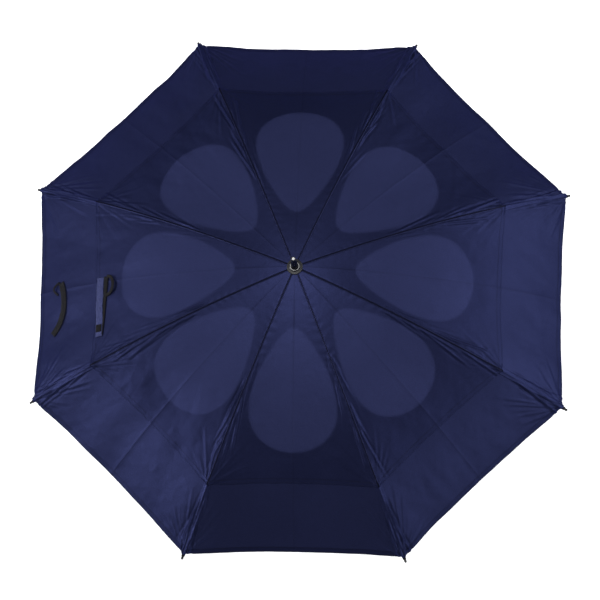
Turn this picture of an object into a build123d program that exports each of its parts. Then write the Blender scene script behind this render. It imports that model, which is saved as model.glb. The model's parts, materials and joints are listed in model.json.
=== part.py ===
from build123d import *

import os
from math import atan2, cos, degrees, hypot, radians, sin, sqrt

# Golf umbrella, open, in millimetres. +Z runs up along the shaft from the handle to the ferrule, and the
# origin is the middle of the straight grip. Eight bowed ribs hinge on the crown, one stretcher hinges under
# each rib, and all eight stretchers hinge on the runner that slides on the shaft. The stretcher is as long
# as the straight line from crown hinge to rib joint and both hinge circles are equal, so the runner moves
# straight along the shaft while rib, stretcher and runner turn in the fixed ratios 1 : -2 : 1.

# Frame
RIB_COUNT = 8
FIRST_RIB_ANGLE = 22.5
RIB_STEP = 360.0 / RIB_COUNT
HALF_STEP = RIB_STEP / 2
RIB_LENGTH = 762.0
RIB_BOW_RADIUS = 1253.0
RIB_START_SLOPE = 5.0
ROD_RADIUS = 2.0
CROWN_HINGE_Z = 850.0
HINGE_CIRCLE_RADIUS = 12.0
JOINT_STATION = 355.0
JOINT_DROP = 6.0
FOLD_ANGLE = 64.0

# Hinges
EYE_RADIUS = 2.4
EYE_THICKNESS = 2.6
RING_WIRE_RADIUS = 0.8
RING_HOLE_RADIUS = 1.1
RIVET_RADIUS = 0.9
RIVET_HOLE_RADIUS = 1.0
SLOT_WIDTH = 3.4
SLOT_ROOT_RADIUS = 9.3

# Rib fittings
SOCKET_START = 15.0
SOCKET_LENGTH = 16.0
SOCKET_RADIUS = 3.2
SOCKET_BORE_RADIUS = 2.15
ROD_START = 19.0
JOINT_SLEEVE_LENGTH = 18.0
TIP_LENGTH = 18.0
TIP_RADIUS = 2.8
TIP_BALL_RADIUS = 3.2
ROD_END = RIB_LENGTH - 8.0

# Stretchers: U channel, open upwards
CHANNEL_WIDTH = 4.8
CHANNEL_DEPTH = 3.8
CHANNEL_WALL = 0.8
CHANNEL_END = 12.0

# Shaft
SHAFT_RADIUS = 7.0
SHAFT_WALL = 1.0
SHAFT_BOTTOM = -70.0
SHAFT_TOP = CROWN_HINGE_Z + 36.0
FIXED_GAP = 0.05

# Crown
CROWN_RADIUS = 15.0
CROWN_BOTTOM = CROWN_HINGE_Z - 7.0
CROWN_TOP = CROWN_HINGE_Z + 7.0

# Runner
RUNNER_BORE_RADIUS = 7.3
RUNNER_HEAD_RADIUS = 15.5
RUNNER_HEAD_BELOW = 8.0
RUNNER_HEAD_ABOVE = 5.0
RUNNER_SLEEVE_RADIUS = 11.0
RUNNER_LENGTH_BELOW = 42.0
RUNNER_RIM_RADIUS = 13.5
WINDOW_TOP_BELOW = 27.0
WINDOW_BOTTOM_BELOW = 38.0
WINDOW_WIDTH = 4.0

# Catches: sprung levers in shaft slots, pinned across the tube
CATCH_THICKNESS = 2.4
CATCH_SLOT_WIDTH = 3.2
CATCH_PIN_RADIUS = 0.9
CATCH_REACH = 10.3
CATCH_ARM = 33.0
CATCH_PRESS_ANGLE = 7.0
CATCH_FACE_GAP = 1.5

# Canopy: the lower canopy has one vent per panel, the upper canopy roofs over the vents
CLOTH_THICKNESS = 0.8
CLOTH_LIFT = 4.2
APEX_CLOTH_Z = CROWN_TOP + 2.6
CLOTH_HOLE_RADIUS = 7.6
PANEL_GAP = 0.4
RIM_STATION = RIB_LENGTH - 14.0
RIM_HOLLOW = 8.0
UPPER_RISE = 2.6
UPPER_HEM_RADIUS = 538.0
UPPER_HEM_HOLLOW = 6.0
VENT_INNER = 143.0
VENT_WIDEST_AT = 322.0
VENT_OUTER = 413.0
VENT_HALF_WIDTH = 105.0

# Tie straps on the panel between ribs 4 and 5
STRAP_CREASE_ANGLE = 180.0
STRAP_THICKNESS = 1.2
STRAP_CLEARANCE = 0.5
UPPER_STRAP_WIDTH = 20.0
UPPER_STRAP_LENGTH = 132.0
UPPER_STRAP_FROM_HEM = 5.0
LOWER_STRAP_WIDTH = 15.0
LOWER_STRAP_LENGTH = 98.0
LOWER_STRAP_AT = 562.0
LOWER_STRAP_DRIFT = 22.0
STRAP_START = 2.0
HOOK_PATCH_LENGTH = 18.0

# Cap, collar and ferrule
CAP_RADIUS = 19.0
CAP_Z = APEX_CLOTH_Z + UPPER_RISE + CLOTH_THICKNESS + 0.5
CAP_THICKNESS = 1.4
COLLAR_RADIUS = 13.0
COLLAR_HEIGHT = 5.0
FERRULE_BASE_RADIUS = 9.0
FERRULE_TIP_RADIUS = 5.6
FERRULE_HEIGHT = 66.0

# Handle
GRIP_RADIUS = 16.0
END_CAP_RADIUS = 15.5
GRIP_HALF_LENGTH = 75.0
CORE_RADIUS = 12.0
END_CAP_LENGTH = 17.0
HANDLE_COLLAR_LENGTH = 20.0
HANDLE_COLLAR_TOP_RADIUS = 9.5


def rib_slope(station):
    """Slope below horizontal, in radians, at a distance along the rib from its hinge."""
    return radians(RIB_START_SLOPE) + station / RIB_BOW_RADIUS


def rib_point(station, lift=0.0):
    """(radius, height) on the rib's centre line, or that far off it along its upper normal."""
    start = radians(RIB_START_SLOPE)
    slope = rib_slope(station)
    radius = HINGE_CIRCLE_RADIUS + RIB_BOW_RADIUS * (sin(slope) - sin(start)) + lift * sin(slope)
    height = CROWN_HINGE_Z - RIB_BOW_RADIUS * (cos(start) - cos(slope)) + lift * cos(slope)
    return radius, height


JOINT = rib_point(JOINT_STATION, -JOINT_DROP)
STRETCHER_LENGTH = hypot(JOINT[0] - HINGE_CIRCLE_RADIUS, CROWN_HINGE_Z - JOINT[1])
STRETCHER_SLOPE = atan2(CROWN_HINGE_Z - JOINT[1], JOINT[0] - HINGE_CIRCLE_RADIUS)


def runner_hinge_z(fold=0.0):
    """Height of the runner's hinge circle when the ribs have folded down by that many degrees."""
    return CROWN_HINGE_Z - 2 * STRETCHER_LENGTH * sin(STRETCHER_SLOPE + radians(fold))


RUNNER_Z = runner_hinge_z()
RUNNER_BOTTOM = RUNNER_Z - RUNNER_LENGTH_BELOW
FOLDED_RUNNER_Z = runner_hinge_z(FOLD_ANGLE)
TOP_CATCH_NOSE_TOP = RUNNER_BOTTOM - CATCH_FACE_GAP
TOP_CATCH_PIN_Z = TOP_CATCH_NOSE_TOP - CATCH_ARM
BOTTOM_CATCH_NOSE_BOTTOM = FOLDED_RUNNER_Z - WINDOW_BOTTOM_BELOW + CATCH_FACE_GAP
BOTTOM_CATCH_PIN_Z = BOTTOM_CATCH_NOSE_BOTTOM + CATCH_ARM
CATCH_NOSE_HEIGHT = WINDOW_BOTTOM_BELOW - WINDOW_TOP_BELOW - CATCH_FACE_GAP - 0.6
RIM_CORNER_RADIUS = rib_point(RIM_STATION)[0]


def turned(shape, angle):
    return shape.rotate(Axis.Z, angle)


def rib_angle(index):
    return FIRST_RIB_ANGLE + RIB_STEP * (index - 1)


def rib_frame(station):
    """Plane of the rib at angle 0: x along the rib, y up off it, extrusions go across it."""
    radius, height = rib_point(station)
    slope = rib_slope(station)
    return Plane(origin=(radius, 0, height), x_dir=(cos(slope), 0, -sin(slope)), z_dir=(0, -1, 0))


def rod_along(station, start, length, radius):
    """Cylinder about the rib's tangent at a station, from start to start + length along it."""
    x_offset, height = rib_point(station)
    slope = rib_slope(station)
    along = (cos(slope), 0, -sin(slope))
    origin = (x_offset + start * along[0], 0, height + start * along[2])
    solid = Cylinder(radius, length, align=(Align.CENTER, Align.CENTER, Align.MIN))
    return Plane(origin=origin, z_dir=along) * solid


def disc_at(plane, x, y, radius, thickness):
    return extrude(plane * Pos(x, y) * Circle(radius), amount=thickness / 2, both=True)


def plate_at(plane, x_from, x_to, y_from, y_to, thickness):
    box = Pos((x_from + x_to) / 2, (y_from + y_to) / 2) * Rectangle(x_to - x_from, y_to - y_from)
    return extrude(plane * box, amount=thickness / 2, both=True)


def tube(outer, inner, bottom, top):
    height = top - bottom
    wall = Pos(0, 0, (top + bottom) / 2) * Cylinder(outer, height)
    return wall - Pos(0, 0, (top + bottom) / 2) * Cylinder(inner, height + 1)


def ring_wire(height, wire_radius):
    return Pos(0, 0, height) * Torus(HINGE_CIRCLE_RADIUS, wire_radius)


def turned_profile(points):
    """Solid of revolution about the shaft from (radius, height) corners."""
    return revolve(Plane.XZ * make_face(Polyline(*points, close=True)), Axis.Z)


# Ribs and stretchers, built at angle 0 and turned into place


def rib_rod():
    ends = [rib_point(ROD_START), rib_point((ROD_START + ROD_END) / 2), rib_point(ROD_END)]
    path = ThreePointArc(*[(x, 0, z) for x, z in ends])
    section = Plane(origin=path @ 0, z_dir=path % 0) * Circle(ROD_RADIUS)
    return sweep(section, path=path)


def root_fitting():
    frame = rib_frame(0)
    eye = disc_at(frame, 0, 0, EYE_RADIUS, EYE_THICKNESS)
    neck = plate_at(frame, 0, SOCKET_START + 2, -EYE_RADIUS, EYE_RADIUS, EYE_THICKNESS)
    socket = rod_along(0, SOCKET_START, SOCKET_LENGTH, SOCKET_RADIUS)
    bore = rod_along(ROD_START, -0.3, SOCKET_LENGTH, SOCKET_BORE_RADIUS)
    pin_hole = disc_at(frame, 0, 0, RING_HOLE_RADIUS, EYE_THICKNESS + 1)
    return eye + neck + socket - bore - pin_hole


def joint_fitting():
    frame = rib_frame(JOINT_STATION)
    half = JOINT_SLEEVE_LENGTH / 2
    sleeve = rod_along(JOINT_STATION, -half, JOINT_SLEEVE_LENGTH, SOCKET_RADIUS)
    ear = disc_at(frame, 0, -JOINT_DROP, EYE_RADIUS, CATCH_THICKNESS)
    web = plate_at(frame, -EYE_RADIUS, EYE_RADIUS, -JOINT_DROP, -2.6, CATCH_THICKNESS)
    bore = rod_along(JOINT_STATION, -half - 1, JOINT_SLEEVE_LENGTH + 2, SOCKET_BORE_RADIUS)
    pin_hole = disc_at(frame, 0, -JOINT_DROP, RIVET_HOLE_RADIUS, CATCH_THICKNESS + 1)
    return sleeve + ear + web - bore - pin_hole


def tip_cap():
    middle = RIB_LENGTH - TIP_LENGTH / 2
    body = rod_along(middle, -TIP_LENGTH / 2, TIP_LENGTH - TIP_BALL_RADIUS, TIP_RADIUS)
    radius, height = rib_point(RIB_LENGTH - TIP_BALL_RADIUS)
    ball = Pos(radius, 0, height) * Sphere(TIP_BALL_RADIUS)
    bore_length = ROD_END + 0.3 - (RIB_LENGTH - TIP_LENGTH)
    bore = rod_along(middle, -TIP_LENGTH / 2 - 1, bore_length + 1, SOCKET_BORE_RADIUS)
    return body + ball - bore


def stretcher():
    along = (-cos(STRETCHER_SLOPE), 0, -sin(STRETCHER_SLOPE))
    frame = Plane(origin=(JOINT[0], 0, JOINT[1]), x_dir=along, z_dir=(0, 1, 0))
    half_depth = CHANNEL_DEPTH / 2
    wall_end = STRETCHER_LENGTH - CHANNEL_END
    outline = plate_at(frame, 0, wall_end, -half_depth, half_depth, CHANNEL_WIDTH)
    outline += disc_at(frame, 0, 0, half_depth, CHANNEL_WIDTH)
    inner_width = CHANNEL_WIDTH - 2 * CHANNEL_WALL
    hollow = plate_at(frame, 4, wall_end + 1, CHANNEL_WALL - half_depth, half_depth + 1, inner_width)
    fork_gap = plate_at(frame, -half_depth - 1, 4, -half_depth - 1, half_depth + 1, inner_width)
    channel = outline - hollow - fork_gap
    tongue = plate_at(frame, wall_end - 10, wall_end, -half_depth, half_depth, inner_width + 0.2)
    tongue += plate_at(frame, wall_end - 1, STRETCHER_LENGTH, -half_depth, half_depth, EYE_THICKNESS)
    tongue += disc_at(frame, STRETCHER_LENGTH, 0, EYE_RADIUS, EYE_THICKNESS)
    tongue -= disc_at(frame, STRETCHER_LENGTH, 0, RING_HOLE_RADIUS, EYE_THICKNESS + 1)
    rivet = disc_at(frame, 0, 0, RIVET_RADIUS, CHANNEL_WIDTH + 1)
    for side in (-1, 1):
        head = disc_at(frame, 0, 0, 1.6, 0.6)
        rivet += head.moved(Location((0, side * (CHANNEL_WIDTH / 2 + 0.2), 0)))
    return channel + tongue + rivet


# Hubs


def hub_slots(bottom, top):
    depth = RUNNER_HEAD_RADIUS + 2 - SLOT_ROOT_RADIUS
    middle = SLOT_ROOT_RADIUS + depth / 2
    cutter = Pos(middle, 0, (bottom + top) / 2) * Box(depth, SLOT_WIDTH, top - bottom)
    return [turned(cutter, rib_angle(index)) for index in range(1, RIB_COUNT + 1)]


def crown():
    body = turned_profile([
        (SHAFT_RADIUS + FIXED_GAP, CROWN_BOTTOM - 9), (8.9, CROWN_BOTTOM - 9), (8.9, CROWN_BOTTOM),
        (CROWN_RADIUS, CROWN_BOTTOM), (CROWN_RADIUS, CROWN_TOP - 2), (CROWN_RADIUS - 2, CROWN_TOP),
        (SHAFT_RADIUS + FIXED_GAP, CROWN_TOP),
    ])
    body -= ring_wire(CROWN_HINGE_Z, RING_WIRE_RADIUS + 0.1)
    body -= cross_pin(CROWN_PIN_Z, FIXED_PIN_RADIUS + 0.03, 3 * SHAFT_RADIUS)
    for cutter in hub_slots(CROWN_BOTTOM - 1, CROWN_HINGE_Z + 3.4):
        body -= cutter
    return body


def runner():
    head_bottom = RUNNER_Z - RUNNER_HEAD_BELOW
    head_top = RUNNER_Z + RUNNER_HEAD_ABOVE
    rim = RUNNER_BOTTOM + 3
    body = turned_profile([
        (RUNNER_BORE_RADIUS, RUNNER_BOTTOM), (RUNNER_RIM_RADIUS, RUNNER_BOTTOM), (RUNNER_RIM_RADIUS, rim),
        (RUNNER_SLEEVE_RADIUS, rim + 2), (RUNNER_SLEEVE_RADIUS, head_bottom - 4),
        (RUNNER_HEAD_RADIUS, head_bottom), (RUNNER_HEAD_RADIUS, head_top), (RUNNER_BORE_RADIUS, head_top),
    ])
    body -= ring_wire(RUNNER_Z, RING_WIRE_RADIUS + 0.1)
    for cutter in hub_slots(RUNNER_Z - 3.6, head_top + 1):
        body -= cutter
    window_height = WINDOW_BOTTOM_BELOW - WINDOW_TOP_BELOW
    window_z = RUNNER_Z - (WINDOW_BOTTOM_BELOW + WINDOW_TOP_BELOW) / 2
    body -= Pos(RUNNER_SLEEVE_RADIUS, 0, window_z) * Box(12, WINDOW_WIDTH, window_height)
    return body


# Shaft, catches and pins


def catch(pin_z, nose_flat_z):
    """Lever from its pin to a nose with one flat face at nose_flat_z and a ramp on the other side."""
    up = 1 if nose_flat_z > pin_z else -1
    inside = SHAFT_RADIUS - SHAFT_WALL - 0.8
    nose_end = nose_flat_z - up * CATCH_NOSE_HEIGHT
    eye_radius = 2.6
    corners = [
        (-eye_radius + 0.6, pin_z + up * 1.5), (1.8, pin_z - up * 1.5), (inside, pin_z + up * 10),
        (inside, nose_end), (CATCH_REACH, nose_flat_z - up * 3), (CATCH_REACH, nose_flat_z),
        (inside - 2.6, nose_flat_z), (inside - 2.6, pin_z + up * 14),
    ]
    profile = make_face(Polyline(*corners, close=True)) + Pos(0, pin_z) * Circle(eye_radius)
    profile -= Pos(0, pin_z) * Circle(CATCH_PIN_RADIUS + 0.1)
    return extrude(Plane.XZ * profile, amount=CATCH_THICKNESS / 2, both=True)


def catch_slot(nose_flat_z, pin_z):
    up = 1 if nose_flat_z > pin_z else -1
    low, high = sorted((nose_flat_z + up * 1.2, nose_flat_z - up * (CATCH_NOSE_HEIGHT + 2.5)))
    return Pos(SHAFT_RADIUS, 0, (low + high) / 2) * Box(5, CATCH_SLOT_WIDTH, high - low)


def cross_pin(height, radius, length):
    return Pos(0, 0, height) * Rot(90, 0, 0) * Cylinder(radius, length)


CATCH_PIN_HEIGHTS = (TOP_CATCH_PIN_Z, BOTTOM_CATCH_PIN_Z)
CROWN_PIN_Z = CROWN_BOTTOM - 5
HANDLE_PIN_Z = -GRIP_HALF_LENGTH + 20
CATCH_PIN_LENGTH = 2 * SHAFT_RADIUS - 0.2
CROWN_PIN_LENGTH = 2 * 8.9 - 0.4
HANDLE_PIN_LENGTH = 2 * CORE_RADIUS - 0.4
FIXED_PIN_RADIUS = 1.2


def shaft():
    body = tube(SHAFT_RADIUS, SHAFT_RADIUS - SHAFT_WALL, SHAFT_BOTTOM, SHAFT_TOP)
    body -= catch_slot(TOP_CATCH_NOSE_TOP, TOP_CATCH_PIN_Z)
    body -= catch_slot(BOTTOM_CATCH_NOSE_BOTTOM, BOTTOM_CATCH_PIN_Z)
    for height in CATCH_PIN_HEIGHTS:
        body -= cross_pin(height, CATCH_PIN_RADIUS + 0.03, 3 * SHAFT_RADIUS)
    for height in (CROWN_PIN_Z, HANDLE_PIN_Z):
        body -= cross_pin(height, FIXED_PIN_RADIUS + 0.03, 3 * SHAFT_RADIUS)
    return body


def handle_core():
    body = tube(CORE_RADIUS, SHAFT_RADIUS + FIXED_GAP, -GRIP_HALF_LENGTH, GRIP_HALF_LENGTH)
    return body - cross_pin(HANDLE_PIN_Z, FIXED_PIN_RADIUS + 0.03, 3 * CORE_RADIUS)


def handle_grip():
    return tube(GRIP_RADIUS, CORE_RADIUS + FIXED_GAP, -GRIP_HALF_LENGTH, GRIP_HALF_LENGTH)


def handle_end_cap():
    top = -GRIP_HALF_LENGTH
    body = Pos(0, 0, top - END_CAP_LENGTH / 2) * Cylinder(END_CAP_RADIUS, END_CAP_LENGTH)
    lower_edge = body.edges().group_by(Axis.Z)[0]
    return fillet(lower_edge, 6)


def handle_collar():
    bottom = GRIP_HALF_LENGTH
    top = bottom + HANDLE_COLLAR_LENGTH
    inner = SHAFT_RADIUS + FIXED_GAP
    return turned_profile([
        (inner, bottom), (END_CAP_RADIUS, bottom), (END_CAP_RADIUS, bottom + 5),
        (HANDLE_COLLAR_TOP_RADIUS + 1, top - 4), (HANDLE_COLLAR_TOP_RADIUS, top), (inner, top),
    ])


# Cap, collar and ferrule


def top_cap():
    rim = CAP_Z + CAP_THICKNESS
    return turned_profile([
        (CLOTH_HOLE_RADIUS - 0.5, CAP_Z), (CAP_RADIUS - 1, CAP_Z - 0.4), (CAP_RADIUS, CAP_Z),
        (CAP_RADIUS - 1, CAP_Z + 0.6), (COLLAR_RADIUS, rim), (CLOTH_HOLE_RADIUS - 0.5, rim),
    ])


def ferrule_collar():
    bottom = CAP_Z + CAP_THICKNESS
    body = tube(COLLAR_RADIUS, SHAFT_RADIUS + FIXED_GAP, bottom, bottom + COLLAR_HEIGHT)
    outer_edges = body.edges().filter_by(GeomType.CIRCLE).sort_by(SortBy.RADIUS)[-2:]
    upper_edge = outer_edges.sort_by(Axis.Z)[-1]
    return fillet(upper_edge, 2.4)


def ferrule():
    bottom = CAP_Z + CAP_THICKNESS + COLLAR_HEIGHT
    top = bottom + FERRULE_HEIGHT
    inner = SHAFT_RADIUS + FIXED_GAP
    bore_top = SHAFT_TOP + 1
    body = turned_profile([
        (inner, bottom), (FERRULE_BASE_RADIUS + 1, bottom), (FERRULE_BASE_RADIUS, bottom + 4),
        (FERRULE_TIP_RADIUS, top - 12), (FERRULE_TIP_RADIUS, top), (0, top), (0, bore_top),
        (inner, bore_top),
    ])
    tip_edge = body.edges().filter_by(GeomType.CIRCLE).sort_by(Axis.Z)[-1]
    return fillet(tip_edge, 2.5)


# Canopy: every panel is bent one way only, so each half panel is an extruded bowed strip cut to its outline


def cloth_profile(rise, thickness):
    """Section of a panel along its pressed centre crease, from the shaft line to past the rim."""
    shrink = cos(radians(HALF_STEP))
    crown_point = (0.0, APEX_CLOTH_Z)
    middle = rib_point(0.45 * RIM_STATION, CLOTH_LIFT)
    rim = rib_point(RIM_STATION + 12, CLOTH_LIFT)
    lower = [(radius * shrink, height + rise) for radius, height in (crown_point, middle, rim)]
    upper = [(x, height + thickness) for x, height in lower]
    edges = [
        ThreePointArc(*lower), Line(lower[-1], upper[-1]), ThreePointArc(*upper[::-1]), Line(upper[0], lower[0]),
    ]
    return make_face(edges)


def cloth_strip(rise, thickness, half_width):
    return extrude(Plane.XZ * cloth_profile(rise, thickness), amount=half_width, both=True)


def half_panel_outline(corner_radius, hollow, side):
    """Plan of half a panel whose crease lies on +X: crease, hollow outer edge, then the rib line."""
    edge_x = corner_radius * cos(radians(HALF_STEP))
    edge_y = corner_radius * sin(radians(HALF_STEP))
    edge_radius = (edge_y**2 + hollow**2) / (2 * hollow)

    def on_edge(y):
        return edge_x - hollow + edge_radius - sqrt(edge_radius**2 - y**2), side * y

    start_y = PANEL_GAP / 2
    inner = (start_y / sin(radians(HALF_STEP)) * cos(radians(HALF_STEP)), side * start_y)
    outer_edge = ThreePointArc(on_edge(start_y), on_edge(edge_y / 2), on_edge(edge_y))
    return make_face([Line(inner, on_edge(start_y)), outer_edge, Line(on_edge(edge_y), inner)])


def upright_prism(face):
    tall = CROWN_HINGE_Z + 60
    return extrude(face, amount=tall)


def vent_prism():
    half = [(VENT_INNER, 0), (VENT_INNER + 65, 56), (VENT_WIDEST_AT, VENT_HALF_WIDTH), (VENT_OUTER, 0)]
    mirrored = [(x, -y) for x, y in half]
    sides = [Spline(*points, tangents=[(0, way), (0, -way)]) for points, way in ((half, 1), (mirrored, -1))]
    return upright_prism(make_face(sides))


def gore(rise, corner_radius, hollow, cutters):
    """Cloth on both sides of a rib at angle 0, from crease to crease, folded along the rib."""
    pieces = []
    for side in (1, -1):
        half = cloth_strip(rise, CLOTH_THICKNESS, corner_radius / 2)
        half = half & upright_prism(half_panel_outline(corner_radius, hollow, side))
        for cutter in cutters:
            half -= cutter
        pieces.append(turned(half, -side * HALF_STEP))
    return pieces[0] + pieces[1]


def shaft_hole():
    return Pos(0, 0, CROWN_HINGE_Z) * Cylinder(CLOTH_HOLE_RADIUS, 80)


def lower_gore():
    return gore(0.0, RIM_CORNER_RADIUS, RIM_HOLLOW, [shaft_hole(), vent_prism()])


def upper_gore():
    return gore(UPPER_RISE, UPPER_HEM_RADIUS, UPPER_HEM_HOLLOW, [shaft_hole()])


# Tie straps, drawn on the panel whose crease lies on +X and turned into place


def strap(rise, thickness, outline):
    strip = cloth_strip(rise, thickness, UPPER_HEM_RADIUS / 2)
    return turned(strip & upright_prism(make_face(outline)), STRAP_CREASE_ANGLE)


UPPER_STRAP_RISE = UPPER_RISE + CLOTH_THICKNESS + STRAP_CLEARANCE
UPPER_STRAP_OUTER = UPPER_HEM_RADIUS * cos(radians(HALF_STEP)) - UPPER_HEM_HOLLOW - UPPER_STRAP_FROM_HEM


def band_outline(x_inner, x_outer, y_from, y_to):
    return Polyline((x_inner, y_from), (x_outer, y_from), (x_outer, y_to), (x_inner, y_to), close=True)


def upper_tie_strap():
    inner = UPPER_STRAP_OUTER - UPPER_STRAP_WIDTH
    end = STRAP_START + UPPER_STRAP_LENGTH
    return strap(UPPER_STRAP_RISE, STRAP_THICKNESS, band_outline(inner, UPPER_STRAP_OUTER, STRAP_START, end))


def strap_hook_patch():
    inner = UPPER_STRAP_OUTER - UPPER_STRAP_WIDTH + 2
    end = STRAP_START + UPPER_STRAP_LENGTH - 12
    rise = UPPER_STRAP_RISE + STRAP_THICKNESS + 0.1
    outline = band_outline(inner, UPPER_STRAP_OUTER - 2, end - HOOK_PATCH_LENGTH, end)
    return strap(rise, STRAP_THICKNESS, outline)


def lower_tie_strap():
    rise = CLOTH_THICKNESS + STRAP_CLEARANCE
    end = STRAP_START + LOWER_STRAP_LENGTH
    inner, outer = LOWER_STRAP_AT, LOWER_STRAP_AT + LOWER_STRAP_WIDTH
    drift = LOWER_STRAP_DRIFT
    middle = (STRAP_START + end) / 2
    outline = [
        Line((inner, STRAP_START), (outer, STRAP_START)),
        ThreePointArc((outer, STRAP_START), (outer + drift / 4, middle), (outer + drift, end)),
        Line((outer + drift, end), (inner + drift, end)),
        ThreePointArc((inner + drift, end), (inner + drift / 4, middle), (inner, STRAP_START)),
    ]
    return strap(rise, STRAP_THICKNESS, outline)


def all_parts():
    parts = {
        "shaft": shaft(),
        "crown": crown(),
        "crown_ring": ring_wire(CROWN_HINGE_Z, RING_WIRE_RADIUS),
        "runner": runner(),
        "runner_ring": ring_wire(RUNNER_Z, RING_WIRE_RADIUS),
        "top_catch": catch(TOP_CATCH_PIN_Z, TOP_CATCH_NOSE_TOP),
        "bottom_catch": catch(BOTTOM_CATCH_PIN_Z, BOTTOM_CATCH_NOSE_BOTTOM),
        "catch_pins": Compound([
            cross_pin(height, CATCH_PIN_RADIUS, CATCH_PIN_LENGTH).solid() for height in CATCH_PIN_HEIGHTS
        ]),
        "crown_pin": cross_pin(CROWN_PIN_Z, FIXED_PIN_RADIUS, CROWN_PIN_LENGTH),
        "handle_pin": cross_pin(HANDLE_PIN_Z, FIXED_PIN_RADIUS, HANDLE_PIN_LENGTH),
        "handle_core": handle_core(),
        "handle_grip": handle_grip(),
        "handle_end_cap": handle_end_cap(),
        "handle_collar": handle_collar(),
        "top_cap": top_cap(),
        "ferrule_collar": ferrule_collar(),
        "ferrule": ferrule(),
        "upper_tie_strap": upper_tie_strap(),
        "strap_hook_patch": strap_hook_patch(),
        "lower_tie_strap": lower_tie_strap(),
    }
    repeated = {
        "rib": rib_rod(),
        "rib_fittings": Compound([root_fitting().solid(), joint_fitting().solid(), tip_cap().solid()]),
        "stretcher": stretcher(),
        "lower_canopy_gore": lower_gore(),
        "upper_canopy_gore": upper_gore(),
    }
    for name, shape in repeated.items():
        for index in range(1, RIB_COUNT + 1):
            parts[f"{name}_{index}"] = turned(shape, rib_angle(index))
    return parts


def main():
    os.makedirs("parts", exist_ok=True)
    for name, shape in all_parts().items():
        export_step(shape, f"parts/{name}.step")
    print("stretcher length", round(STRETCHER_LENGTH, 3), "slope", round(degrees(STRETCHER_SLOPE), 3))
    print("runner travel", round(RUNNER_Z, 2), "to", round(FOLDED_RUNNER_Z, 2))
    print("rim corner radius", round(RIM_CORNER_RADIUS, 2), "tip radius", round(rib_point(RIB_LENGTH)[0], 2))


if __name__ == "__main__":
    main()
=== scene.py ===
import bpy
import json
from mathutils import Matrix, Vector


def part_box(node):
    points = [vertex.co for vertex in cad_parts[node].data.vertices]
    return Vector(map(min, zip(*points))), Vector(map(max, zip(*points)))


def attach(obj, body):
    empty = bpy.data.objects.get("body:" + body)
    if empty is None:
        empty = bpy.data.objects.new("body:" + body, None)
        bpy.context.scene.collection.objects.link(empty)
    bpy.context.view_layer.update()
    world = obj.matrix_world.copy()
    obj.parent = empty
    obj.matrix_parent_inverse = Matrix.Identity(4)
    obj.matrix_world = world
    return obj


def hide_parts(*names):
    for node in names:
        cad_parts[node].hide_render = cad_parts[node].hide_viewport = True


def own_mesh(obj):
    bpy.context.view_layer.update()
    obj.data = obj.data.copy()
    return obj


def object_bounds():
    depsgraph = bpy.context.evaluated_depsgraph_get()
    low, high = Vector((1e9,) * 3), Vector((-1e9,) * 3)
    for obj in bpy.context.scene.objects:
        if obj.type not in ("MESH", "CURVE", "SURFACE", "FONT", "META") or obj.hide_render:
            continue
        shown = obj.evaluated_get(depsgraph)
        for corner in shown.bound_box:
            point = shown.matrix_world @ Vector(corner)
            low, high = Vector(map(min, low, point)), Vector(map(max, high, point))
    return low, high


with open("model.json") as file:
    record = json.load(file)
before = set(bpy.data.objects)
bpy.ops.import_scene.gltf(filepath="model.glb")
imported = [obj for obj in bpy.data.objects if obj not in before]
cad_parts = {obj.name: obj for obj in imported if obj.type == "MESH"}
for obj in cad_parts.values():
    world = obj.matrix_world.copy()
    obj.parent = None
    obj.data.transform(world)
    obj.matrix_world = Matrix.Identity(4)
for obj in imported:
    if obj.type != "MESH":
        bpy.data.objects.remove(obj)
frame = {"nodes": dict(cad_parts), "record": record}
cad_box = [list(corner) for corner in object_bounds()]

import json
from math import cos, radians, sin, sqrt, tan

import bpy
import numpy as np
from mathutils import Matrix, Vector

# Golf umbrella, open. Metres, +Z up along the shaft. Rib i lies at FIRST_RIB + STEP * (i - 1) degrees, and
# the panel between ribs i and i + 1 has its pressed crease half way. Panel coordinates are (x, y): x out
# along the crease from the shaft, y across it, so the ribs are the lines |y| = x * TAN_HALF. One cloth piece
# goes from crease to crease over one rib, so that it can ride on that rib.

RIBS = 8
FIRST_RIB = 22.5
STEP = 360 / RIBS
HALF = radians(STEP / 2)
TAN_HALF, COS_HALF, SIN_HALF = tan(HALF), cos(HALF), sin(HALF)

joints = {joint["name"]: joint for joint in frame["record"]["behaviour"]["joints"]}
hinge = joints["canopy_fold"]["pos_m"]
HINGE_RADIUS = sqrt(hinge[0] ** 2 + hinge[1] ** 2)
HINGE_Z = hinge[2]

# Cloth shape. The CAD solids have the same, but with a hollower rim and slightly smaller vents. Stations are
# lengths along the rib's curve, CLOTH_LIFT is from that curve up to the lower cloth's underside, and SEAT is
# from there up to the visible sheet.
RIB_LENGTH = 0.762
RIB_BOW = 1.253
RIB_START_SLOPE = radians(5)
RIM_STATION = RIB_LENGTH - 0.014
CLOTH_LIFT = 0.0042
APEX_Z = HINGE_Z + 0.0096
RIM_HOLLOW = 0.005
UPPER_RISE = 0.0026
UPPER_HEM = 0.538
UPPER_HEM_HOLLOW = 0.006
CLOTH_HOLE = 0.0076
VENT = {"inner": 0.143, "outer": 0.425, "half_width": 0.107, "egg": 0.43}
SEAT = 0.0004
HEM_WIDTH = 0.010

# How far the cloth stands off its smooth surface
SAG_AT_RIM = 0.0060
BROAD_WAVES = (0.0022, 0.0009)
CRUMPLE = (0.00042, 0.00022)
SEAM_PUCKER = 0.0006
RIM_FLUTTER = 0.0010
CREASE_RIDGE = 0.0006
SEAM_RIDGE, SEAM_GROOVE = 0.0009, 0.0004
CORNER_FOLDS, RIB_FOLDS = 12, 9
RIB_FOLD_HEIGHT = 0.0015

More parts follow.
